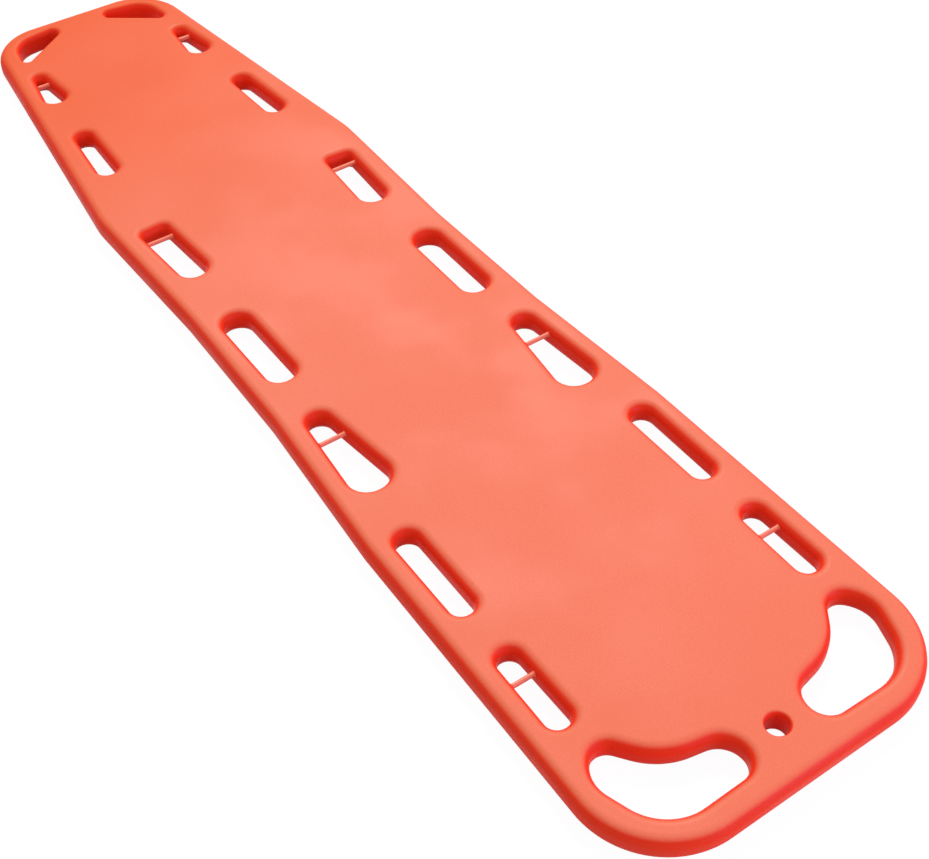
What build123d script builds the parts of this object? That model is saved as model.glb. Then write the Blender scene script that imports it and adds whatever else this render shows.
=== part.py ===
from build123d import *
from collections import namedtuple
from math import atan2, degrees, radians, tan
import os

os.makedirs("parts", exist_ok=True)

# A rotationally moulded spine board, in millimetres. +X points to the head end, +Y to the
# patient's right side and +Z up; the origin is on the ground under the middle of the board.

# Moulded shell
board_length = 1840
board_thickness = 36
shell_wall = 4
edge_round = 14
rim_round = 14
land_between_rounds = 1
sharpest_inside = 0.5

# Plan of one side: half widths where its straight stretches would meet, from foot to head.
# The waist is centred, and the hip and chest are measured from the nearer end
foot_half_width = 152.5
hip_half_width = 218
waist_half_width = 211.5
rib_half_width = 217
chest_half_width = 236
head_half_width = 247.5
hip_from_foot = 538
waist_length = 236
chest_from_head = 550
side_bend_radius = 180
foot_corner_radius = 85.8
head_corner_radius = 121

# Side slots, from foot to head: distance from the previous slot's middle, length, width at
# the foot and head ends, rail left between slot and side, turn from the side's line in
# degrees, how round the foot end is (1 is a half circle), strap pin's place from the foot
# end and its name
Slot = namedtuple("Slot", "pitch length foot_width head_width rail turn foot_roundness pin_inset pin")
side_slots = (
    Slot(0, 79.5, 13.5, 34.5, 34, -5, 0.98, 16, "ankle"),
    Slot(200, 115, 23, 28.5, 42.5, -3, 0.98, 0, None),
    Slot(280, 125, 39, 39, 40, -2.1, 0.35, 18, "knee"),
    Slot(244, 150, 39, 40, 34.5, -1.3, 0.98, 0, None),
    Slot(232, 154.5, 28, 61, 36, -5.2, 0.98, 44.5, "hip"),
    Slot(231, 145.5, 31.5, 31, 34.5, -0.5, 0.98, 0, None),
    Slot(203, 121, 29.5, 32.5, 35.5, -0.5, 0.98, 41, "chest"),
)
head_roundness = 0.96

# Grip corners: distance in from the board's end, distance from the side or from the middle
# line, and radius. The kidney's fifth corner is the bulge that the palm rests on
Corner = namedtuple("Corner", "from_end datum across radius")
kidney_corners = (
    Corner(136, "side", 29.7, 44),
    Corner(38.5, "side", 64.2, 69),
    Corner(41, "middle", 50.5, 26),
    Corner(93, "middle", 50, 31),
    Corner(109, "middle", 130.5, 97),
    Corner(175, "side", 64.3, 21),
)
corner_grip_corners = (
    Corner(22, "middle", 18, 9),
    Corner(98, "side", 35.4, 6),
    Corner(36, "side", 37.9, 40),
)
corner_grip_round = 10

# Bridges between the grips and the slots next to them
foot_bridge = 44.75
head_bridge = 31.5

# Round hole on the middle line at the head end
round_hole_bore = 29
round_hole_from_head = 68
round_hole_round = 5

# Strap pins across four slots on each side
pin_diameter = 6.5
pin_below_top = 12
pin_embed = 12
pin_clearance = 0.1

# Foam core and the two stiffening tubes moulded into it
core_clearance = 0.2
tube_diameter = 16
tube_wall = 2
tube_from_foot = 170
tube_from_head = 210
tube_from_middle = 72
tube_clearance = 0.1

# Push-in plugs that close the foam's filling hole and vent in the underside
plug_head_diameter = 26
plug_head_thickness = 2
plug_stem_diameter = 18
plug_stem_length = 9
plug_recess = 0.2
plug_clearance = 0.1
filling_hole_from_head = 360
vent_hole_from_foot = 360

# Derived places
head_x = board_length / 2
foot_x = -board_length / 2
side_corners = (
    (foot_x, foot_half_width),
    (foot_x + hip_from_foot, hip_half_width),
    (-waist_length / 2, waist_half_width),
    (waist_length / 2, rib_half_width),
    (head_x - chest_from_head, chest_half_width),
    (head_x, head_half_width),
)
pin_height = board_thickness - pin_below_top

# Share of an edge that the roundings at its two ends may take up
longest_rounding = 0.999


def side_stretch(x):
    """The two side corners that a station lies between."""
    for start, end in zip(side_corners, side_corners[1:]):
        if x <= end[0]:
            break
    return start, end


def half_width_at(x):
    """Half width of the board's plan at a station."""
    (x0, width0), (x1, width1) = side_stretch(x)
    return width0 + (width1 - width0) * (x - x0) / (x1 - x0)


def side_angle_at(x):
    """Angle of the side's line at a station, in degrees."""
    (x0, width0), (x1, width1) = side_stretch(x)
    return degrees(atan2(width1 - width0, x1 - x0))


def rounded_face(corners):
    """Flat face of a closed outline from corners of x, y and radius, limited by its edges."""
    points = [Vector(x, y) for x, y, radius in corners]
    following = points[1:] + points[:1]
    edges = [(after - point).length for point, after in zip(points, following)]
    halves = []
    for before, point, after in zip(points[-1:] + points[:-1], points, following):
        halves.append(radians(180 - (before - point).get_angle(after - point)) / 2)
    tangents = [corner[2] * tan(half) for corner, half in zip(corners, halves)]
    shares = []
    for i, edge in enumerate(edges):
        both = tangents[i] + tangents[(i + 1) % len(edges)]
        shares.append(min(1, longest_rounding * edge / both))
    radii = [corner[2] * min(shares[i - 1], shares[i]) for i, corner in enumerate(corners)]
    return make_face(FilletPolyline(*points, radius=radii, close=True))


def board_outline():
    """Plan of the whole board."""
    radii = [foot_corner_radius] + [side_bend_radius] * 4 + [head_corner_radius]
    right = [(x, y, radius) for (x, y), radius in zip(side_corners, radii)]
    left = [(x, -y, radius) for x, y, radius in reversed(right)]
    return rounded_face(right + left)


def grip_face(corners, end_x, side):
    """Plan of a grip from its corners, which are measured from one end of the board."""
    inward = -1 if end_x > 0 else 1
    outline = []
    for corner in corners:
        x = end_x + inward * corner.from_end
        y = half_width_at(x) - corner.across if corner.datum == "side" else corner.across
        outline.append((x, side * y, corner.radius))
    return rounded_face(outline)


def slot_stations():
    """Middles of the side slots, spread between the first and the last by their pitches."""
    foot_grip_depth = max(corner.from_end for corner in corner_grip_corners)
    head_grip_depth = max(corner.from_end for corner in kidney_corners)
    first = foot_x + foot_grip_depth + foot_bridge + side_slots[0].length / 2
    last = head_x - head_grip_depth - head_bridge - side_slots[-1].length / 2
    total = sum(slot.pitch for slot in side_slots)
    stations = []
    run = 0
    for slot in side_slots:
        run += slot.pitch
        stations.append(first + (last - first) * run / total)
    return stations


def slot_middle(slot, x):
    """Distance of a slot's middle from the board's middle line."""
    return half_width_at(x) - slot.rail - (slot.foot_width + slot.head_width) / 4


def slot_turn(slot, x):
    """A slot's turn from the board's length, in degrees."""
    return side_angle_at(x) + slot.turn


def slot_face(slot, x, side):
    """Plan of one side slot: four corners whose radii make round ends."""
    taper = atan2((slot.head_width - slot.foot_width) / 2, slot.length)
    foot_radius = slot.foot_roundness * slot.foot_width / 2 * tan((radians(90) + taper) / 2)
    head_radius = head_roundness * slot.head_width / 2 * tan((radians(90) - taper) / 2)
    half_length = slot.length / 2
    outline = rounded_face([
        (-half_length, -slot.foot_width / 2, foot_radius),
        (half_length, -slot.head_width / 2, head_radius),
        (half_length, slot.head_width / 2, head_radius),
        (-half_length, slot.foot_width / 2, foot_radius),
    ])
    return Pos(x, side * slot_middle(slot, x)) * Rot(0, 0, side * slot_turn(slot, x)) * outline


def through_holes():
    """Plans of all holes through the board, each with the radius of its rims."""
    holes = []
    for side in (-1, 1):
        for slot, x in zip(side_slots, slot_stations()):
            holes.append((slot_face(slot, x, side), rim_round))
        holes.append((grip_face(kidney_corners, head_x, side), rim_round))
        holes.append((grip_face(corner_grip_corners, foot_x, side), corner_grip_round))
    round_hole = Pos(head_x - round_hole_from_head, 0) * Circle(round_hole_bore / 2)
    holes.append((round_hole, round_hole_round))
    return holes


def fitting_rims(outline, holes):
    """Each hole with its rim radius, limited by the wall to the side and to its neighbours."""
    side = outline.face().outer_wire()
    wires = [hole.face().outer_wire() for hole, radius in holes]
    fitted = []
    for (hole, radius), wire in zip(holes, wires):
        to_side = wire.distance_to(side) - edge_round
        to_next = min(wire.distance_to(other) for other in wires if other is not wire) / 2
        fitted.append((hole, min(radius, to_side - land_between_rounds, to_next - land_between_rounds / 2)))
    return fitted


def board_body(outline, holes, side_inset, face_inset):
    """The board's form, drawn in from its sides and holes and from its top and bottom."""
    height = board_thickness - 2 * face_inset
    plan = offset(outline, -side_inset) if side_inset else outline
    rims = []
    for hole, radius in holes:
        grown = offset(hole, side_inset) if side_inset else hole
        plan -= grown
        rims.append((grown.center(), max(radius - side_inset, sharpest_inside)))
    body = extrude(plan, height)
    edge_radius = max(edge_round - side_inset, sharpest_inside)
    for radius in sorted({radius for centre, radius in rims} | {edge_radius}, reverse=True):
        edges = []
        for face in (body.faces().sort_by(Axis.Z)[-1], body.faces().sort_by(Axis.Z)[0]):
            if radius == edge_radius:
                edges += face.outer_wire().edges()
            for wire in face.inner_wires():
                middle = make_face(wire.edges()).center()
                nearest = min(rims, key=lambda rim: (rim[0].X - middle.X) ** 2 + (rim[0].Y - middle.Y) ** 2)
                if nearest[1] == radius:
                    edges += wire.edges()
        body = fillet(edges, min(radius, (height - land_between_rounds) / 2))
    return Pos(0, 0, face_inset) * body


def pin_run(slot, x, side):
    """Middle point and bare length of the strap pin in a slot."""
    from_foot = slot.pin_inset / slot.length
    bare = slot.foot_width + (slot.head_width - slot.foot_width) * from_foot
    along = slot.pin_inset - slot.length / 2
    drift = along * tan(radians(slot_turn(slot, x)))
    return (x + along, side * (slot_middle(slot, x) + drift), pin_height), bare


def cross_cylinder(centre, diameter, length):
    """A round bar across the board."""
    return Pos(*centre) * Rot(90, 0, 0) * Cylinder(diameter / 2, length)


def strap_pins():
    """Each strap pin's name, middle point and bare length."""
    pins = []
    for side_name, side in (("left", -1), ("right", 1)):
        for slot, x in zip(side_slots, slot_stations()):
            if slot.pin:
                centre, bare = pin_run(slot, x, side)
                pins.append((f"strap_pin_{side_name}_{slot.pin}", centre, bare))
    return pins


def stiffening_bar(side, diameter, clearance):
    """A round bar along the board, where a stiffening tube lies."""
    length = board_length - tube_from_foot - tube_from_head + 2 * clearance
    centre = Pos((tube_from_foot - tube_from_head) / 2, side * tube_from_middle, board_thickness / 2)
    return centre * Rot(0, 90, 0) * Cylinder(diameter / 2 + clearance, length)


def plug(x, clearance):
    """A push-in plug with a round head in the underside, grown by a clearance."""
    grounded = (Align.CENTER, Align.CENTER, Align.MIN)
    seat = plug_recess + plug_head_thickness
    head = Cylinder(plug_head_diameter / 2 + clearance, seat, align=grounded)
    if not clearance:
        head -= Cylinder(plug_head_diameter / 2 + 1, plug_recess, align=grounded)
    stem = Cylinder(plug_stem_diameter / 2 + clearance, seat + plug_stem_length + clearance, align=grounded)
    if not clearance:
        stem -= Cylinder(plug_stem_diameter / 2 + 1, plug_recess, align=grounded)
    return Pos(x, 0, 0) * (head + stem)


def build_parts():
    """All nodes of the board by name."""
    outline = board_outline()
    holes = fitting_rims(outline, through_holes())
    outside = board_body(outline, holes, 0, 0)
    hollow = board_body(outline, holes, shell_wall, shell_wall)
    core = board_body(outline, holes, shell_wall + core_clearance, shell_wall)
    shell = outside - hollow
    parts = {}
    for name, centre, bare in strap_pins():
        held = bare + 2 * pin_embed
        parts[name] = cross_cylinder(centre, pin_diameter, held)
        bore = cross_cylinder(centre, pin_diameter + 2 * pin_clearance, held + 2 * pin_clearance)
        shell -= bore
        core -= bore
    for side_name, side in (("left", -1), ("right", 1)):
        tube_bore = stiffening_bar(side, tube_diameter - 2 * tube_wall, 0)
        parts[f"stiffening_tube_{side_name}"] = stiffening_bar(side, tube_diameter, 0) - tube_bore
        core -= stiffening_bar(side, tube_diameter, tube_clearance)
    filling_x = head_x - filling_hole_from_head
    vent_x = foot_x + vent_hole_from_foot
    for name, x in (("filling_plug", filling_x), ("vent_plug", vent_x)):
        parts[name] = plug(x, 0)
        shell -= plug(x, plug_clearance)
        core -= plug(x, plug_clearance)
    parts["moulded_shell"] = shell
    parts["foam_core"] = core
    return parts


for node, solid in build_parts().items():
    export_step(solid, f"parts/{node}.step")
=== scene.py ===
"""Spine board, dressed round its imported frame: the moulded shell with its hand slots and grips,
the strap pins, the plugs in the underside, what the shell holds inside, and the studio."""
from collections import namedtuple
from math import acos, atan2, ceil, cos, pi, radians, sin, tan

import bmesh
import bpy
from bpy.props import FloatProperty, FloatVectorProperty, IntProperty, PointerProperty
from mathutils import Matrix, Vector


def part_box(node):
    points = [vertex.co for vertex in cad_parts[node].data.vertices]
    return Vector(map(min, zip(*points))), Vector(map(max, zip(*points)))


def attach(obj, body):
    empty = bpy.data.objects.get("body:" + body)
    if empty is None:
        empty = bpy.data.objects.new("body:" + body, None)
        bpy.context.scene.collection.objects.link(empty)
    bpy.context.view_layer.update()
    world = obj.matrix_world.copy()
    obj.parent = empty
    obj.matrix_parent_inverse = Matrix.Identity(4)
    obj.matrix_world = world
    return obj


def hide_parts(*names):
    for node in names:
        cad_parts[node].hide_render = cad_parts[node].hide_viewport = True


bl_info = {
    "name": "Spine board",
    "version": (1, 0, 0),
    "blender": (4, 5, 0),
    "location": "3D View > Sidebar > Spine board",
    "description": "Models a rotationally moulded spine board round its packed frame",
    "category": "Add Mesh",
}

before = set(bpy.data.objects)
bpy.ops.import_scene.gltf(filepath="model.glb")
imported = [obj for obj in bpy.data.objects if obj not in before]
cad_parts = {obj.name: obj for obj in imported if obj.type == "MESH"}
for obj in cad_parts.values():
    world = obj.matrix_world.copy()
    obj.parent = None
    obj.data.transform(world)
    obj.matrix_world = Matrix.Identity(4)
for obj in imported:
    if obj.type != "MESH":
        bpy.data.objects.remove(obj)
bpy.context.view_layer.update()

# The frame's axes: +X to the head end, +Y to the patient's right and +Z up
shell_low, shell_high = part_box("moulded_shell")
board_thickness = shell_high[2] - shell_low[2]
head_x = shell_high[0]
foot_x = shell_low[0]

# The rows below are in millimetres, and MM turns them into metres
MM = 0.001

# Half widths where the side's straight stretches would meet, from foot to head
foot_half_width = 152.5
hip_half_width = 218
waist_half_width = 211.5
rib_half_width = 217
chest_half_width = 236
head_half_width = 247.5
hip_from_foot = 538
waist_length = 236
chest_from_head = 550
side_corners = (
    (foot_x / MM, foot_half_width),
    (foot_x / MM + hip_from_foot, hip_half_width),
    (-waist_length / 2, waist_half_width),
    (waist_length / 2, rib_half_width),
    (head_x / MM - chest_from_head, chest_half_width),
    (head_x / MM, head_half_width),
)
foot_corner_radius = 85.8
side_bend_radius = 180
head_corner_radius = 121
side_bends = len(side_corners) - 2
side_radii = (foot_corner_radius, *[side_bend_radius] * side_bends, head_corner_radius)

# Side slots, from foot to head: distance from the previous slot's middle, length, widths at
# the foot and head ends, rail left at the side, turn from the side's line in degrees, and how
# much of its half width rounds the foot end
Slot = namedtuple("Slot", "pitch length foot_width head_width rail turn foot_roundness")
side_slots = (
    Slot(0, 79.5, 13.5, 34.5, 34, -5, 0.98),
    Slot(200, 115, 23, 28.5, 42.5, -3, 0.98),
    Slot(280, 125, 39, 39, 40, -2.1, 0.35),
    Slot(244, 150, 39, 40, 34.5, -1.3, 0.98),
    Slot(232, 154.5, 28, 61, 36, -5.2, 0.98),
    Slot(231, 145.5, 31.5, 31, 34.5, -0.5, 0.98),
    Slot(203, 121, 29.5, 32.5, 35.5, -0.5, 0.98),
)
head_roundness = 0.96
foot_bridge = 44.75
head_bridge = 31.5

# Grip corners: distance in from the board's end, distance from the side or from the middle
# line, and radius
Corner = namedtuple("Corner", "from_end datum across radius")
kidney_corners = (
    Corner(136, "side", 29.7, 44),
    Corner(38.5, "side", 64.2, 69),
    Corner(41, "middle", 50.5, 26),
    Corner(93, "middle", 50, 31),
    Corner(109, "middle", 130.5, 97),
    Corner(175, "side", 64.3, 21),
)
corner_grip_corners = (
    Corner(22, "middle", 18, 9),
    Corner(98, "side", 35.4, 6),
    Corner(36, "side", 37.9, 40),
)
round_hole_from_head = 68
plug_nodes = ("filling_plug", "vent_plug")
pin_places = ("ankle", "knee", "hip", "chest")

# How finely curves are drawn, and how near two points count as one
widest_step = radians(6)
round_hole_steps = 56
pin_steps = 32
pin_flare_steps = 5
plug_steps = 64
plug_round_steps = 3
crease_angle = radians(35)
level_tolerance = 0.01 * MM
weld_distance = 0.005 * MM

# Cosines of the tilt at which the walls' painted shade and the faces' painted light are reached
painted_shade_tilt = 0.7
painted_light_tilt = 0.998

# Stations between which the foot end's painted shade, a deeper orange, gives way, in metres
foot_shade_from = -1.05
foot_shade_to = -0.05

# Tint of the faint dark specks, open cells of the foam in a metre, and how far the glass
# strands are drawn out along a tube
speck_tint = (0.94, 0.9, 0.88)
cells_per_metre = 450
strand_stretch = (0.02, 1, 1)

# Lamps: where they stand, what they look at, their width and height, and their tint
Lamp = namedtuple("Lamp", "name place target width height tint")
key_lamp = Lamp("key_lamp", (-6.6, 4.9, 8.7), (0, 0, 0), 3.2, 2.8, (1, 0.98, 0.97))
head_lamp = Lamp("head_lamp", (3.1, 1.3, 0.8), (0.9, 0, 0), 2.2, 1.0, (0.62, 0.42, 1))

# The floor's own grey, how far it lies below the board, its glow and how much shadow it keeps
white = (1, 1, 1, 1)
floor_grey = (0.65, 0.65, 0.65, 1)
floor_drop = 0.2 * MM
floor_glow = 1.02
floor_shadow_share = 0.06

# Film width in millimetres, and how far the camera sees in metres
film_width = 36
camera_reach = 60


def length(name, description, millimetres):
    """A length that the panel shows, with its default given in millimetres."""
    return FloatProperty(
        name=name, description=description, default=millimetres * MM, unit="LENGTH", precision=4
    )


def colour(name, description, default):
    """A colour that the panel shows, as linear red, green and blue."""
    return FloatVectorProperty(
        name=name, description=description, default=default, subtype="COLOR", size=3, min=0, max=1
    )


def power(name, description, watts):
    """A lamp's power that the panel shows."""
    return FloatProperty(name=name, description=description, default=watts, unit="POWER")


class BoardSizes(bpy.types.PropertyGroup):
    """Sizes of the moulding that a user would change."""

    wall: length("Wall", "Thickness of the moulded shell", 4)
    edge_round: length("Edge round", "Radius along the outside edges", 14)
    rim_round: length("Rim round", "Radius of the rims of slots and head grips", 14)
    corner_grip_round: length("Corner grip round", "Radius of the foot corner grips' rims", 10)
    round_hole_bore: length("Round hole", "Bore of the round hole at the head end", 29)
    round_hole_round: length("Round hole round", "Radius of the round hole's rims", 5)
    land: length("Land", "Flat ring that frames each rim and keeps its shading true", 0.9)
    chord_error: length("Chord error", "How far a curve's straight pieces may leave the curve", 0.03)
    shortest_edge: length("Shortest edge", "Shorter edges of a traced outline are merged", 0.8)
    rim_steps: IntProperty(name="Rim steps", description="Rings in each rounding", default=9, min=2)


class FittingSizes(bpy.types.PropertyGroup):
    """Sizes of the strap pins and the plugs."""

    pin_embed: length("Pin embed", "Length of each pin end that is held in the rail", 12)
    pin_flare: length("Pin flare", "Fillet where a pin runs into its rail", 0.7)
    plug_clearance: length("Plug clearance", "Gap round a plug in its seat", 0.1)
    plug_head: length("Plug head", "Thickness of a plug's head", 2)
    plug_recess: length("Plug recess", "Depth of a plug's head below the underside", 0.2)
    plug_stem: length("Plug stem", "Diameter of a plug's stem", 18)
    plug_round: length("Plug round", "Rounding of a plug's head and of its seat's mouth", 0.6)


class BoardColours(bpy.types.PropertyGroup):
    """Colours of the finishes, with painted light among them: the faces' lit colour, their painted
    sheen, and the painted shade of walls and foot end.
    """

    # Painted light: the lit colour of the flat faces, paler than the same plastic in shade
    face: colour("Faces", "Lightly hazed orange of the flat faces", (0.88, 0.19, 0.096))
    # Painted shade: the faces darken to this deeper orange towards the foot end
    foot_painted_shade: colour("Foot faces", "Deeper orange of the faces at the foot end", (0.83, 0.1, 0.012))
    # Painted shade: the deeper orange that edges, rims and hole walls take where they turn from the
    # light
    wall: colour("Walls", "Clean orange of edges and hole walls", (0.9, 0.037, 0.007))
    # Painted sheen: the pale clouds of a soft highlight on the faces
    painted_sheen: colour("Haze", "Pale bloom where the faces have been scuffed", (0.94, 0.24, 0.15))
    pin: colour("Pins", "Orange of the strap pins", (0.91, 0.2, 0.095))
    plug: colour("Plugs", "Orange of the plugs", (0.8, 0.12, 0.04))
    foam: colour("Foam", "Cream of the rigid foam", (0.75, 0.62, 0.4))
    glass: colour("Glass fibre", "Grey-green of the stiffening tubes", (0.3, 0.33, 0.26))


class StudioSettings(bpy.types.PropertyGroup):
    """The floor, the lamps and the camera."""

    floor_size: length("Floor", "Side of the square floor", 30000)
    camera_place: FloatVectorProperty(
        name="Camera place",
        description="Where the photograph was taken from",
        default=(1.46415, -0.85881, 1.53681),
        subtype="TRANSLATION",
    )
    camera_turn: FloatVectorProperty(
        name="Camera turn",
        description="Euler angles of the camera",
        default=(radians(44.0582), radians(-1.6421), radians(53.2135)),
        subtype="EULER",
    )
    camera_lens: FloatProperty(
        name="Camera lens",
        description="Focal length on a 36 mm wide film, in millimetres",
        default=62.099,
        unit="CAMERA",
    )
    shift_x: FloatProperty(name="Shift across", description="Framing across", default=-0.0683)
    shift_y: FloatProperty(name="Shift up", description="Framing up", default=-0.0006)
    sky: FloatProperty(name="Sky", description="Strength of the light from all round", default=0.6)
    key: power("Key lamp", "Soft box beyond the foot end", 845)
    fill: power("Head lamp", "Violet soft box beyond the head end", 48)


def half_width_at(x):
    """Half width of the board's plan at a station, and the angle of its side there, in radians."""
    for (x0, width0), (x1, width1) in zip(side_corners, side_corners[1:]):
        if x <= x1:
            break
    return width0 + (width1 - width0) * (x - x0) / (x1 - x0), atan2(width1 - width0, x1 - x0)


def board_corners():
    """Corners of the whole board as x, y and radius."""
    right = [(x, width, radius) for (x, width), radius in zip(side_corners, side_radii)]
    left = [(x, -width, radius) for x, width, radius in reversed(right)]
    return right + left


def slot_stations():
    """Middles of the side slots along the board, spread between the grips by their pitches."""
    foot_grip_depth = max(corner.from_end for corner in corner_grip_corners)
    head_grip_depth = max(corner.from_end for corner in kidney_corners)
    first = foot_x / MM + foot_grip_depth + foot_bridge + side_slots[0].length / 2
    last = head_x / MM - head_grip_depth - head_bridge - side_slots[-1].length / 2
    total = sum(slot.pitch for slot in side_slots)
    run = 0
    for slot in side_slots:
        run += slot.pitch
        yield first + (last - first) * run / total


def slot_corners(slot, x, side):
    """Corners of one side slot as x, y and radius."""
    half_width, side_angle = half_width_at(x)
    middle = half_width - slot.rail - (slot.foot_width + slot.head_width) / 4
    taper = atan2((slot.head_width - slot.foot_width) / 2, slot.length)
    foot_radius = slot.foot_roundness * slot.foot_width / 2 * tan((pi / 2 + taper) / 2)
    head_radius = head_roundness * slot.head_width / 2 * tan((pi / 2 - taper) / 2)
    turn = Matrix.Rotation(side * (side_angle + radians(slot.turn)), 2)
    corners = []
    for end, width, radius in ((-1, slot.foot_width, foot_radius), (1, slot.head_width, head_radius)):
        for flank in (end, -end):
            place = turn @ Vector((end * slot.length / 2, flank * width / 2))
            corners.append((x + place.x, side * middle + place.y, radius))
    return corners


def grip_corners(rows, end_x, side):
    """Corners of a grip as x, y and radius."""
    inward = -1 if end_x > 0 else 1
    corners = []
    for row in rows:
        x = end_x + inward * row.from_end
        y = half_width_at(x)[0] - row.across if row.datum == "side" else row.across
        corners.append((x, side * y, row.radius))
    return corners


def arcs_of(corners, margin):
    """Start, centre and turn of the arc at each corner, anticlockwise and moved outwards.

    The corners and the margin are in millimetres, and the arcs in metres.
    """
    points = [Vector(corner[:2]) for corner in corners]
    radii = [corner[2] for corner in corners]
    area = sum(a.x * b.y - b.x * a.y for a, b in zip(points, points[1:] + points[:1]))
    if area < 0:
        points.reverse()
        radii.reverse()
    arcs = []
    for i, (point, radius) in enumerate(zip(points, radii)):
        back = (points[i - 1] - point).normalized()
        ahead = (points[(i + 1) % len(points)] - point).normalized()
        half = back.angle(ahead) / 2
        centre = point + (back + ahead).normalized() * radius / sin(half)
        # A corner that bends outwards grows with the margin, and one that bends inwards shrinks
        hand = 1 if back.cross(ahead) < 0 else -1
        start = point + back * radius / tan(half)
        start = centre + (start - centre) * (radius + hand * margin) / radius
        arcs.append((start * MM, centre * MM, hand * (pi - 2 * half)))
    return arcs


def start_vertex(name):
    """New piece in edit mode that holds one selected vertex at the origin."""
    bpy.ops.object.select_all(action="DESELECT")
    bpy.ops.mesh.primitive_plane_add(size=MM)
    piece = bpy.context.object
    piece.name = name
    bpy.ops.object.mode_set(mode="EDIT")
    bpy.ops.mesh.select_all(action="SELECT")
    bpy.ops.mesh.merge(type="CENTER")
    return piece


def run_to(here, there):
    """Draws a straight edge from the selected vertex."""
    bpy.ops.mesh.extrude_region_move(TRANSFORM_OT_translate={"value": there - here})
    return there


def trace_face(name, corners, margin, height, sizes):
    """New piece in edit mode: a level face whose outline has true arcs at its corners."""
    piece = start_vertex(name)
    arcs = arcs_of(corners, margin / MM)
    here = Vector((*arcs[0][0], height))
    bpy.ops.transform.translate(value=here)
    for i, (start, centre, turn) in enumerate(arcs):
        if i:
            run_to(here, Vector((*start, height)))
        coarsest = 2 * acos(1 - sizes.chord_error / (start - centre).length)
        steps = ceil(abs(turn) / min(coarsest, widest_step))
        # Spin counts a clockwise turn as positive
        bpy.ops.mesh.spin(steps=steps, angle=-turn, center=(*centre, height), axis=(0, 0, 1))
        arm = Matrix.Rotation(turn, 2) @ (start - centre)
        here = Vector((*(centre + arm), height))
    # Stretches too short to outlast the rings' insets are drawn together
    bpy.ops.mesh.select_all(action="SELECT")
    bpy.ops.mesh.remove_doubles(threshold=sizes.shortest_edge)
    bpy.ops.mesh.edge_face_add()
    turn_face(piece, True)
    return piece


def round_face(name, radius, centre, steps, upwards):
    """New piece in edit mode: a level round face."""
    bpy.ops.object.select_all(action="DESELECT")
    bpy.ops.mesh.primitive_circle_add(
        vertices=steps, radius=radius, fill_type="NGON", location=centre
    )
    bpy.ops.object.transform_apply(location=True)
    piece = bpy.context.object
    piece.name = name
    bpy.ops.object.mode_set(mode="EDIT")
    bpy.ops.mesh.select_all(action="SELECT")
    turn_face(piece, upwards)
    return piece


def turn_face(piece, upwards):
    """Makes the one face of a piece look up or down, and leaves it selected."""
    face = bmesh.from_edit_mesh(piece.data).faces[:][0]
    if (face.normal.z > 0) != upwards:
        bpy.ops.mesh.flip_normals()


def ring(inwards, rise):
    """Adds a ring of faces round the selected face, and moves that face on."""
    bpy.ops.mesh.inset(thickness=inwards, depth=rise, use_even_offset=True)


def quarter_turn(steps):
    """Pairs of angles that part a right angle evenly."""
    for step in range(steps):
        yield pi / 2 * step / steps, pi / 2 * (step + 1) / steps


def round_over(radius, steps):
    """Rounds an outside edge, from the wall up to the face."""
    for a, b in quarter_turn(steps):
        ring(radius * (cos(a) - cos(b)), radius * (sin(b) - sin(a)))


def round_down(radius, steps):
    """Rounds a hole's rim, from the face down into the hole."""
    for a, b in quarter_turn(steps):
        ring(radius * (sin(b) - sin(a)), -radius * (cos(a) - cos(b)))


def open_end():
    """Takes the selected face away, leaves its rim and ends the modelling of the piece."""
    bpy.ops.mesh.delete(type="ONLY_FACE")
    bpy.ops.object.mode_set(mode="OBJECT")


def outside_wall(name, inset, sizes):
    """Upper half of the board's side, from the mid-plane to the land on its face."""
    radius = sizes.edge_round - inset
    piece = trace_face(name, board_corners(), -inset, 0, sizes)
    ring(0, board_thickness / 2 - inset - radius)
    round_over(radius, sizes.rim_steps)
    ring(sizes.land, 0)
    open_end()
    return piece


def hole_rim(radius, half, sizes):
    """Works the selected face down from the land through a hole's rim to the mid-plane."""
    ring(sizes.land, 0)
    round_down(radius, sizes.rim_steps)
    ring(0, radius - half)
    open_end()


def hole_wall(name, corners, rim_round, inset, sizes):
    """Upper half of a hole's wall."""
    half = board_thickness / 2 - inset
    piece = trace_face(name, corners, rim_round + sizes.land, half, sizes)
    hole_rim(rim_round - inset, half, sizes)
    return piece


def round_hole_wall(name, inset, sizes):
    """Upper half of the round hole's wall."""
    half = board_thickness / 2 - inset
    radius = sizes.round_hole_bore / 2 + sizes.round_hole_round + sizes.land
    centre = (head_x - round_hole_from_head * MM, 0, half)
    piece = round_face(name, radius, centre, round_hole_steps, True)
    hole_rim(sizes.round_hole_round - inset, half, sizes)
    return piece


def join(pieces, name):
    """Joins pieces into one."""
    bpy.ops.object.select_all(action="DESELECT")
    for piece in pieces:
        piece.select_set(True)
    bpy.context.view_layer.objects.active = pieces[0]
    bpy.ops.object.join()
    pieces[0].name = name
    return pieces[0]


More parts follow.
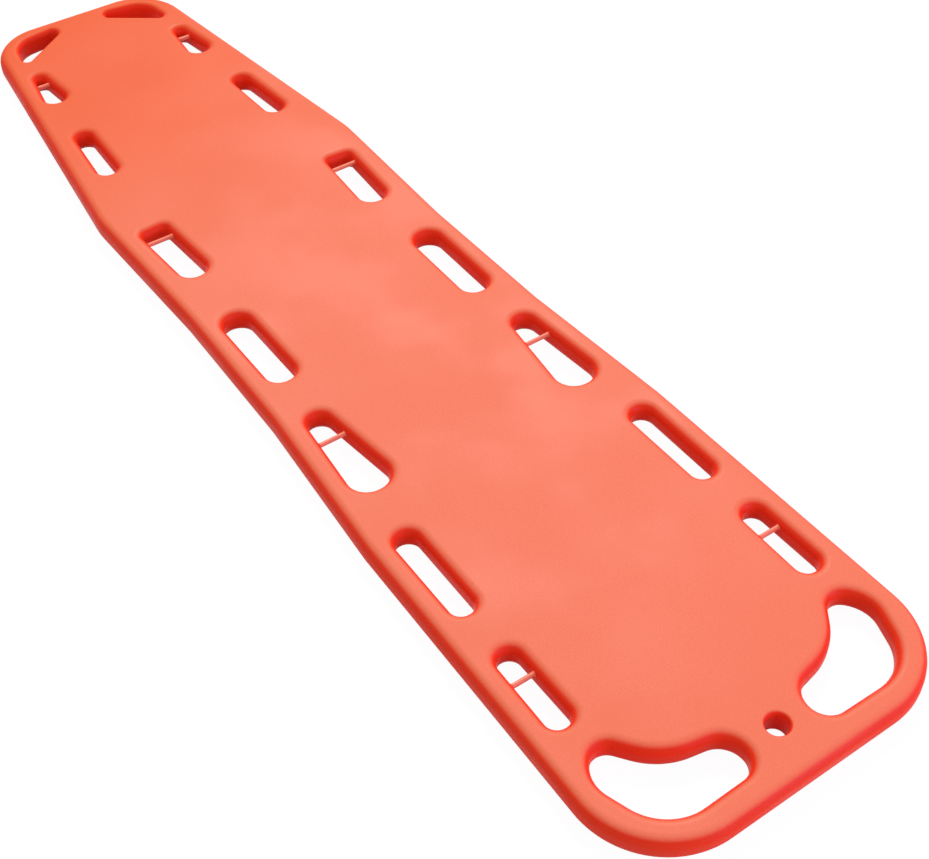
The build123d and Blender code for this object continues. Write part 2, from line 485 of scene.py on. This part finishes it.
def skin(name, inset, sizes):
    """One skin of the board without its flat faces: the side and all hole walls.

    The walls' upper halves are made about the mid-plane, mirrored and raised. The inner skin
    is the outer one drawn in by the wall.
    """
    walls = [outside_wall(name, inset, sizes)]
    for side in (-1, 1):
        for slot, x in zip(side_slots, slot_stations()):
            walls.append(hole_wall(name, slot_corners(slot, x, side), sizes.rim_round, inset, sizes))
        kidney = grip_corners(kidney_corners, head_x / MM, side)
        walls.append(hole_wall(name, kidney, sizes.rim_round, inset, sizes))
        corner_grip = grip_corners(corner_grip_corners, foot_x / MM, side)
        walls.append(hole_wall(name, corner_grip, sizes.corner_grip_round, inset, sizes))
    walls.append(round_hole_wall(name, inset, sizes))
    piece = join(walls, name)
    mirror = piece.modifiers.new("lower half", "MIRROR")
    mirror.use_axis = (False, False, True)
    mirror.merge_threshold = level_tolerance
    bpy.ops.object.modifier_apply(modifier=mirror.name)
    bpy.ops.object.mode_set(mode="EDIT")
    bpy.ops.mesh.select_all(action="SELECT")
    bpy.ops.transform.translate(value=(0, 0, board_thickness / 2))
    bpy.ops.object.mode_set(mode="OBJECT")
    return piece


def plug_seat(node, sizes, fittings):
    """Stepped bore for a plug, from the underside through the wall."""
    low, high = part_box(node)
    head_radius = (high[0] - low[0]) / 2 + fittings.plug_clearance
    stem_radius = fittings.plug_stem / 2 + fittings.plug_clearance
    depth = fittings.plug_recess + fittings.plug_head
    mouth = head_radius + fittings.plug_round + sizes.land
    centre = ((low[0] + high[0]) / 2, 0, 0)
    piece = round_face(f"{node}_seat", mouth, centre, plug_steps, False)
    ring(sizes.land, 0)
    round_down(fittings.plug_round, plug_round_steps)
    ring(0, fittings.plug_round - depth)
    ring(head_radius - stem_radius, 0)
    ring(0, depth - sizes.wall)
    open_end()
    return piece


def fill_level(piece, height):
    """Fills one flat face between all the open rims at a height."""
    bpy.ops.mesh.select_all(action="DESELECT")
    mesh = bmesh.from_edit_mesh(piece.data)
    for edge in mesh.edges:
        level = all(abs(vertex.co.z - height) < level_tolerance for vertex in edge.verts)
        edge.select = level and edge.is_boundary
    bmesh.update_edit_mesh(piece.data)
    bpy.ops.mesh.fill(use_beauty=True)


def finish_mesh(piece):
    """Merges doubles, turns all faces outwards and shades the piece, which has to be closed."""
    bpy.ops.mesh.select_all(action="SELECT")
    bpy.ops.mesh.remove_doubles(threshold=weld_distance)
    bpy.ops.mesh.normals_make_consistent(inside=False)
    if not all(edge.is_manifold for edge in bmesh.from_edit_mesh(piece.data).edges):
        raise RuntimeError(f"{piece.name} isn't closed")
    bpy.ops.object.mode_set(mode="OBJECT")
    bpy.ops.object.shade_smooth_by_angle(angle=crease_angle)


def lathe(name, profile, centre, axis, steps):
    """New piece turned from a profile of radius and distance along an axis."""
    piece = start_vertex(name)
    along = Vector(axis)
    outwards = Vector((1, 0, 0))
    places = [centre + outwards * radius + along * distance for radius, distance in profile]
    bpy.ops.transform.translate(value=places[0])
    here = places[0]
    for there in places[1:]:
        here = run_to(here, there)
    bpy.ops.mesh.select_all(action="SELECT")
    bpy.ops.mesh.spin(steps=steps, angle=2 * pi, center=centre, axis=axis)
    finish_mesh(piece)
    return piece


def pin_profile(radius, half_length, fittings):
    """Radius and distance along a pin that flares into the rail at both ends."""
    flare = fittings.pin_flare
    wall = half_length - fittings.pin_embed
    chamfer = radius / 5
    half = [(0, half_length), (radius - chamfer, half_length), (radius, half_length - chamfer)]
    half += [(radius, wall + flare), (radius + flare, wall + flare / 2)]
    for step in range(pin_flare_steps + 1):
        a = pi / 2 * step / pin_flare_steps
        half.append((radius + flare * (1 - sin(a)), wall - flare * (1 - cos(a))))
    return half + [(across, -along) for across, along in reversed(half)]


def plug_profile(head, height, fittings):
    """Radius and height of a plug, from the middle of its head to the end of its stem."""
    stem = fittings.plug_stem / 2
    soft = fittings.plug_round
    # Half way round the head's rounding, this far from both of its sides
    bend = soft * 0.3
    profile = [(0, 0), (head - soft, 0), (head - bend, bend), (head, soft)]
    profile += [(head, fittings.plug_head), (stem, fittings.plug_head)]
    return profile + [(stem, height - soft), (stem - soft, height), (0, height)]


def dress(piece, body, node, material):
    """Makes a piece ride on its body, stand for its node and wear its finish."""
    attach(piece, body)
    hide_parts(node)
    wear(piece, material)


def wear(piece, material):
    """Gives a piece its one material."""
    piece.data.materials.clear()
    piece.data.materials.append(material)


def new_material(name, roughness=0.5):
    """A material, its tree and its shader, which has one roughness until a pattern drives it."""
    material = bpy.data.materials.new(name)
    material.use_nodes = True
    tree = material.node_tree
    shader = tree.nodes["Principled BSDF"]
    shader.inputs["Roughness"].default_value = roughness
    return material, tree, shader


def from_place(tree, output="Object"):
    """Coordinates of the surface in the object's own axes, or its normal."""
    return tree.nodes.new("ShaderNodeTexCoord").outputs[output]


def part_of(tree, vector, axis):
    """One part of a vector."""
    split = tree.nodes.new("ShaderNodeSeparateXYZ")
    tree.links.new(vector, split.inputs["Vector"])
    return split.outputs[axis]


def noise(tree, place, scale, detail=2.0, roughness=0.5):
    """Noise with a scale in lumps per metre."""
    node = tree.nodes.new("ShaderNodeTexNoise")
    node.inputs["Scale"].default_value = scale
    node.inputs["Detail"].default_value = detail
    node.inputs["Roughness"].default_value = roughness
    tree.links.new(place, node.inputs["Vector"])
    return node.outputs["Fac"]


def spread(tree, value, low, high, to_low=0.0, to_high=1.0):
    """Stretches a value from one range to another, smoothly."""
    node = tree.nodes.new("ShaderNodeMapRange")
    node.interpolation_type = "SMOOTHSTEP"
    node.inputs["From Min"].default_value = low
    node.inputs["From Max"].default_value = high
    node.inputs["To Min"].default_value = to_low
    node.inputs["To Max"].default_value = to_high
    tree.links.new(value, node.inputs["Value"])
    return node.outputs["Result"]


def blend(tree, share, first, second, kind="MIX"):
    """Mixes two colours, each a socket or a plain colour."""
    node = tree.nodes.new("ShaderNodeMix")
    node.data_type = "RGBA"
    node.blend_type = kind
    # The node's colours are at 6 and 7, behind the sockets for numbers and vectors
    for socket, value in ((node.inputs[0], share), (node.inputs[6], first), (node.inputs[7], second)):
        if isinstance(value, bpy.types.NodeSocket):
            tree.links.new(value, socket)
        elif isinstance(value, float):
            socket.default_value = value
        else:
            socket.default_value = (*value, 1)
    return node.outputs[2]


def shade_of(tint, share):
    """A darker or paler colour of the same tint."""
    return tuple(min(1, channel * share) for channel in tint)


def relief(tree, shader, height, depth, strength):
    """Fine relief of a surface."""
    bump = tree.nodes.new("ShaderNodeBump")
    bump.inputs["Strength"].default_value = strength
    bump.inputs["Distance"].default_value = depth
    tree.links.new(height, bump.inputs["Height"])
    tree.links.new(bump.outputs["Normal"], shader.inputs["Normal"])


def polyethylene(colours):
    """Moulded orange polyethylene: flat faces in a lit colour with a painted sheen, edges and hole
    walls in painted shade, mottled grain.
    """
    material, tree, shader = new_material("orange_polyethylene")
    shader.inputs["Specular IOR Level"].default_value = 0.15
    place = from_place(tree)
    level = tree.nodes.new("ShaderNodeMath")
    level.operation = "ABSOLUTE"
    tree.links.new(part_of(tree, from_place(tree, "Normal"), "Z"), level.inputs[0])
    painted_light_share = spread(tree, level.outputs["Value"], low=painted_shade_tilt, high=painted_light_tilt)
    # Painted light: the faces darken towards the foot as painted shade, and the rims, edges and hole
    # walls take the deeper orange of painted shade all along
    along = spread(tree, part_of(tree, place, "X"), low=foot_shade_from, high=foot_shade_to)
    face = blend(tree, along, tuple(colours.foot_painted_shade), tuple(colours.face))
    # Painted light on the flat faces and painted shade on walls and rims, chosen by how far the
    # surface tilts
    body = blend(tree, painted_light_share, tuple(colours.wall), face)
    # A painted sheen lies in broad pale clouds on the faces only
    sheen_clouds = spread(tree, noise(tree, place, scale=3.0), low=0.38, high=0.85, to_high=0.2)
    sheened = blend(tree, sheen_clouds, body, tuple(colours.painted_sheen))
    sheen_on_faces = blend(tree, painted_light_share, body, sheened)
    fine = noise(tree, place, scale=420.0, detail=3.0, roughness=0.65)
    speckled = blend(tree, spread(tree, fine, low=0.32, high=0.68), speck_tint, white[:3])
    mottled = blend(tree, 1.0, sheen_on_faces, speckled, "MULTIPLY")
    tree.links.new(mottled, shader.inputs["Base Color"])
    sheen = noise(tree, place, scale=7.0)
    gloss = spread(tree, sheen, low=0.3, high=0.7, to_low=0.42, to_high=0.56)
    tree.links.new(gloss, shader.inputs["Roughness"])
    grain = noise(tree, place, scale=650.0, detail=4.0, roughness=0.6)
    relief(tree, shader, grain, depth=0.15 * MM, strength=0.35)
    return material


def plain_plastic(name, tint, roughness):
    """Smooth plastic with a faint mottle."""
    material, tree, shader = new_material(name, roughness)
    place = from_place(tree)
    mottle = spread(tree, noise(tree, place, scale=380.0, detail=3.0), low=0.3, high=0.7)
    mottled = blend(tree, mottle, shade_of(tint, share=0.9), tuple(tint))
    tree.links.new(mottled, shader.inputs["Base Color"])
    grain = noise(tree, place, scale=500.0, detail=3.0)
    relief(tree, shader, grain, depth=0.08 * MM, strength=0.25)
    return material


def foam(colours):
    """Rigid foam with small open cells."""
    material, tree, shader = new_material("core_foam", roughness=0.9)
    cells = tree.nodes.new("ShaderNodeTexVoronoi")
    cells.inputs["Scale"].default_value = cells_per_metre
    tree.links.new(from_place(tree), cells.inputs["Vector"])
    # Painted shade: the colour darkens towards each cell's middle, where the relief sinks into a pit
    shade = spread(tree, cells.outputs["Distance"], low=0.0, high=0.6)
    shaded = blend(tree, shade, shade_of(colours.foam, share=0.7), tuple(colours.foam))
    tree.links.new(shaded, shader.inputs["Base Color"])
    relief(tree, shader, cells.outputs["Distance"], depth=0.6 * MM, strength=0.8)
    return material


def glass_fibre(colours):
    """Pultruded glass fibre with strands along the tube."""
    material, tree, shader = new_material("glass_fibre", roughness=0.35)
    stretch = tree.nodes.new("ShaderNodeMapping")
    stretch.inputs["Scale"].default_value = strand_stretch
    tree.links.new(from_place(tree), stretch.inputs["Vector"])
    strands = noise(tree, stretch.outputs["Vector"], scale=900.0)
    share = spread(tree, strands, low=0.35, high=0.65)
    stranded = blend(tree, share, tuple(colours.glass), shade_of(colours.glass, share=1.8))
    tree.links.new(stranded, shader.inputs["Base Color"])
    relief(tree, shader, strands, depth=0.1 * MM, strength=0.4)
    return material


def background_rays(tree):
    """1 for the rays that show the background: the camera's, and those of gloss and glass."""
    path = tree.nodes.new("ShaderNodeLightPath")
    share = path.outputs["Is Camera Ray"]
    for kind in ("Is Glossy Ray", "Is Transmission Ray"):
        either = tree.nodes.new("ShaderNodeMath")
        either.operation = "MAXIMUM"
        tree.links.new(share, either.inputs[0])
        tree.links.new(path.outputs[kind], either.inputs[1])
        share = either.outputs["Value"]
    return share


def show_behind(tree, lighting, shown, output):
    """Puts one shader in the light's way and another in the background's."""
    chooser = tree.nodes.new("ShaderNodeMixShader")
    tree.links.new(background_rays(tree), chooser.inputs["Fac"])
    tree.links.new(lighting.outputs[0], chooser.inputs[1])
    tree.links.new(shown.outputs[0], chooser.inputs[2])
    tree.links.new(chooser.outputs[0], tree.nodes[output].inputs["Surface"])


def floor_material():
    """Pale floor that the camera sees as white and that keeps a faint shadow."""
    material, tree, shader = new_material("studio_floor", roughness=0.9)
    shader.inputs["Base Color"].default_value = floor_grey
    shadowed = tree.nodes.new("ShaderNodeBsdfDiffuse")
    shadowed.inputs["Color"].default_value = white
    glow = tree.nodes.new("ShaderNodeEmission")
    glow.inputs["Strength"].default_value = floor_glow
    shown = tree.nodes.new("ShaderNodeMixShader")
    shown.inputs["Fac"].default_value = floor_shadow_share
    tree.links.new(glow.outputs[0], shown.inputs[1])
    tree.links.new(shadowed.outputs[0], shown.inputs[2])
    show_behind(tree, shader, shown, "Material Output")
    return material


def make_world(strength):
    """Even light from all round, which the camera sees as white."""
    world = bpy.data.worlds.new("studio")
    world.use_nodes = True
    tree = world.node_tree
    light = tree.nodes["Background"]
    light.inputs["Color"].default_value = white
    light.inputs["Strength"].default_value = strength
    shown = tree.nodes.new("ShaderNodeBackground")
    shown.inputs["Color"].default_value = white
    show_behind(tree, light, shown, "World Output")
    bpy.context.scene.world = world


def soft_box(lamp, watts):
    """A rectangular lamp that looks at a point."""
    bpy.ops.object.light_add(type="AREA", location=lamp.place)
    box = bpy.context.object
    box.name = lamp.name
    line = Vector(lamp.target) - Vector(lamp.place)
    box.rotation_euler = line.to_track_quat("-Z", "Y").to_euler()
    box.data.shape = "RECTANGLE"
    box.data.size = lamp.width
    box.data.size_y = lamp.height
    box.data.energy = watts
    box.data.color = lamp.tint


class SPINEBOARD_OT_shell(bpy.types.Operator):
    """Model the hollow moulded shell with its hand slots, grips, round hole and plug seats"""

    bl_idname = "spine_board.shell"
    bl_label = "Moulded shell"

    def execute(self, context):
        sizes = context.scene.board_sizes
        fittings = context.scene.fitting_sizes
        skins = [skin("board_shell", 0, sizes), skin("inner_skin", sizes.wall, sizes)]
        seats = [plug_seat(node, sizes, fittings) for node in plug_nodes]
        shell = join(skins + seats, "board_shell")
        bpy.ops.object.mode_set(mode="EDIT")
        for height in (0, sizes.wall, board_thickness - sizes.wall, board_thickness):
            fill_level(shell, height)
        finish_mesh(shell)
        finish = polyethylene(context.scene.board_colours)
        dress(shell, "root", "moulded_shell", finish)
        return {"FINISHED"}


class SPINEBOARD_OT_pins(bpy.types.Operator):
    """Turn the strap pins that cross four slots on each side"""

    bl_idname = "spine_board.pins"
    bl_label = "Strap pins"

    def execute(self, context):
        fittings = context.scene.fitting_sizes
        finish = plain_plastic("orange_pin", context.scene.board_colours.pin, roughness=0.4)
        for side in ("left", "right"):
            for place in pin_places:
                node = f"strap_pin_{side}_{place}"
                low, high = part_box(node)
                centre = Vector((low[i] + high[i]) / 2 for i in range(3))
                profile = pin_profile((high[2] - low[2]) / 2, (high[1] - low[1]) / 2, fittings)
                pin = lathe(f"clip_pin_{side}_{place}", profile, centre, (0, 1, 0), pin_steps)
                dress(pin, "root", node, finish)
        return {"FINISHED"}


class SPINEBOARD_OT_plugs(bpy.types.Operator):
    """Turn the two plugs that close the foam's holes in the underside"""

    bl_idname = "spine_board.plugs"
    bl_label = "Filling and vent plugs"

    def execute(self, context):
        fittings = context.scene.fitting_sizes
        finish = plain_plastic("orange_plug", context.scene.board_colours.plug, roughness=0.35)
        for node in plug_nodes:
            low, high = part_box(node)
            centre = Vector(((low[0] + high[0]) / 2, (low[1] + high[1]) / 2, low[2]))
            profile = plug_profile((high[0] - low[0]) / 2, high[2] - low[2], fittings)
            plug = lathe(f"{node}_turned", profile, centre, (0, 0, 1), plug_steps)
            dress(plug, "root", node, finish)
        return {"FINISHED"}


class SPINEBOARD_OT_inside(bpy.types.Operator):
    """Give the foam core and the stiffening tubes their finishes"""

    bl_idname = "spine_board.inside"
    bl_label = "Foam core and tubes"

    def execute(self, context):
        colours = context.scene.board_colours
        wear(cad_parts["foam_core"], foam(colours))
        tube_finish = glass_fibre(colours)
        for side in ("left", "right"):
            wear(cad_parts[f"stiffening_tube_{side}"], tube_finish)
        return {"FINISHED"}


class SPINEBOARD_OT_studio(bpy.types.Operator):
    """Set the floor, the soft lamps, the sky and the camera"""

    bl_idname = "spine_board.studio"
    bl_label = "Studio"

    def execute(self, context):
        settings = context.scene.studio_settings
        bpy.ops.object.select_all(action="DESELECT")
        bpy.ops.mesh.primitive_plane_add(size=settings.floor_size, location=(0, 0, -floor_drop))
        floor = context.object
        floor.name = "studio_floor"
        floor.data.materials.append(floor_material())
        soft_box(key_lamp, settings.key)
        soft_box(head_lamp, settings.fill)
        make_world(settings.sky)
        bpy.ops.object.camera_add(location=settings.camera_place, rotation=settings.camera_turn)
        camera = context.object
        camera.name = "photograph_camera"
        camera.data.sensor_width = film_width
        camera.data.lens = settings.camera_lens
        camera.data.shift_x = settings.shift_x
        camera.data.shift_y = settings.shift_y
        camera.data.clip_end = camera_reach
        context.scene.camera = camera
        context.scene.view_settings.view_transform = "Standard"
        return {"FINISHED"}


class SPINEBOARD_PT_panel(bpy.types.Panel):
    """Lists the board's operators and settings"""

    bl_label = "Spine board"
    bl_idname = "SPINEBOARD_PT_panel"
    bl_space_type = "VIEW_3D"
    bl_region_type = "UI"
    bl_category = "Spine board"

    def draw(self, context):
        for operator in operators:
            self.layout.operator(operator.bl_idname)
        for group in settings_groups:
            box = self.layout.box()
            settings = getattr(context.scene, group)
            for name in settings.bl_rna.properties.keys():
                if name not in ("rna_type", "name"):
                    box.prop(settings, name)


operators = (
    SPINEBOARD_OT_shell,
    SPINEBOARD_OT_pins,
    SPINEBOARD_OT_plugs,
    SPINEBOARD_OT_inside,
    SPINEBOARD_OT_studio,
)
settings_groups = {
    "board_sizes": BoardSizes,
    "fitting_sizes": FittingSizes,
    "board_colours": BoardColours,
    "studio_settings": StudioSettings,
}


def register():
    """Registers the classes and puts the settings on the scene."""
    for group in (*settings_groups.values(), *operators, SPINEBOARD_PT_panel):
        bpy.utils.register_class(group)
    for name, group in settings_groups.items():
        setattr(bpy.types.Scene, name, PointerProperty(type=group))


def unregister():
    """Takes the settings and the classes away again."""
    for name in settings_groups:
        delattr(bpy.types.Scene, name)
    for group in (SPINEBOARD_PT_panel, *reversed(operators), *settings_groups.values()):
        bpy.utils.unregister_class(group)


def main():
    """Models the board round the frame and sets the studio."""
    register()
    bpy.ops.spine_board.shell()
    bpy.ops.spine_board.pins()
    bpy.ops.spine_board.plugs()
    bpy.ops.spine_board.inside()
    bpy.ops.spine_board.studio()


if __name__ == "__main__":
    main()
